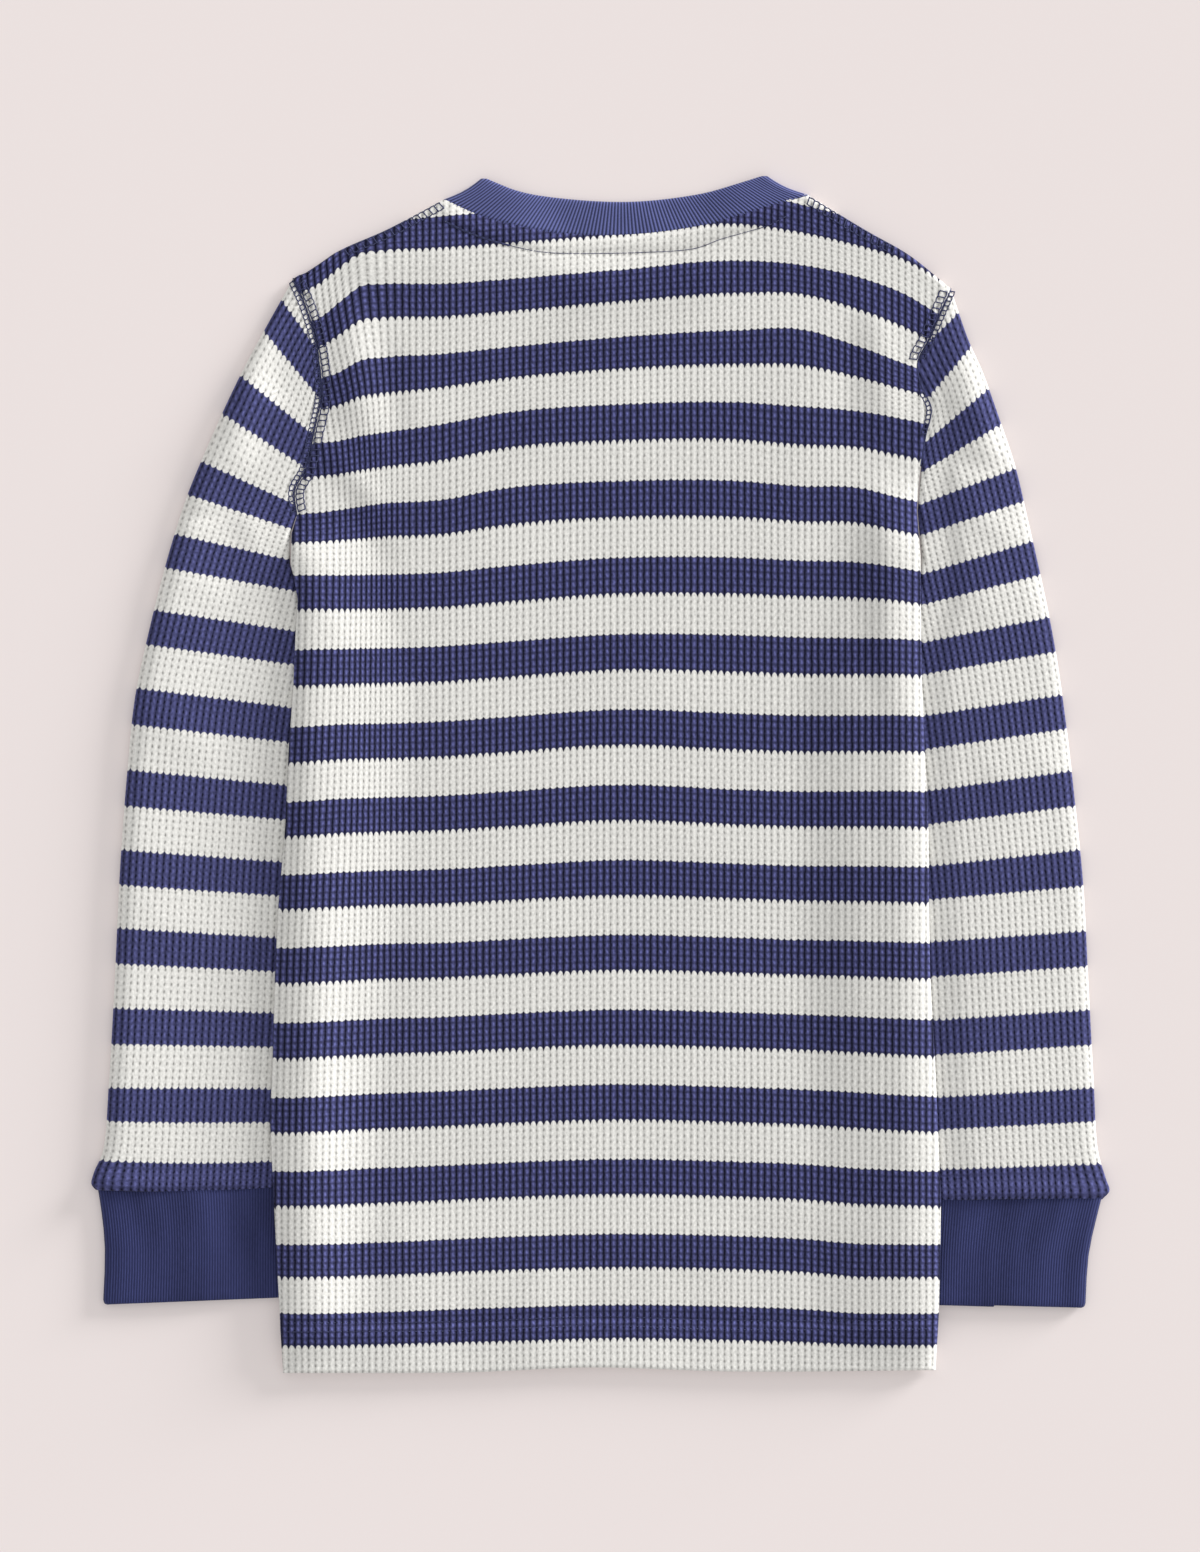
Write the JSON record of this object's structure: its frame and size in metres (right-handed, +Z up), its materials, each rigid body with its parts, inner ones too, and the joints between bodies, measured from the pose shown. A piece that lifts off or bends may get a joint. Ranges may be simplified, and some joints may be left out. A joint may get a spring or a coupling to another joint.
{
  "type": "child's thermal top",
  "caption": "Long-sleeved child's thermal top in striped waffle knit, laid flat with its back up, with a rib neck band, rib cuffs and a stitched hem.",
  "frame": {"origin": "on the surface that the garment lies on, under the middle of the whole laid garment", "axes": "+X to the right of the laid garment seen from above, +Y towards its neck, +Z up from the surface"},
  "size_m": [0.4484, 0.5277, 0.0101],
  "materials": {
    "waffle_knit": "cotton waffle knit in ivory and navy stripes, matt",
    "rib_knit": "fine navy cotton rib, matt"
  },
  "bodies": {
    "root": {"back_panel": "waffle_knit", "front_panel": "waffle_knit", "sleeve_left": "waffle_knit", "sleeve_right": "waffle_knit", "cuff_left": "rib_knit", "cuff_right": "rib_knit", "neck_band": "rib_knit"}
  },
  "joints": []
}
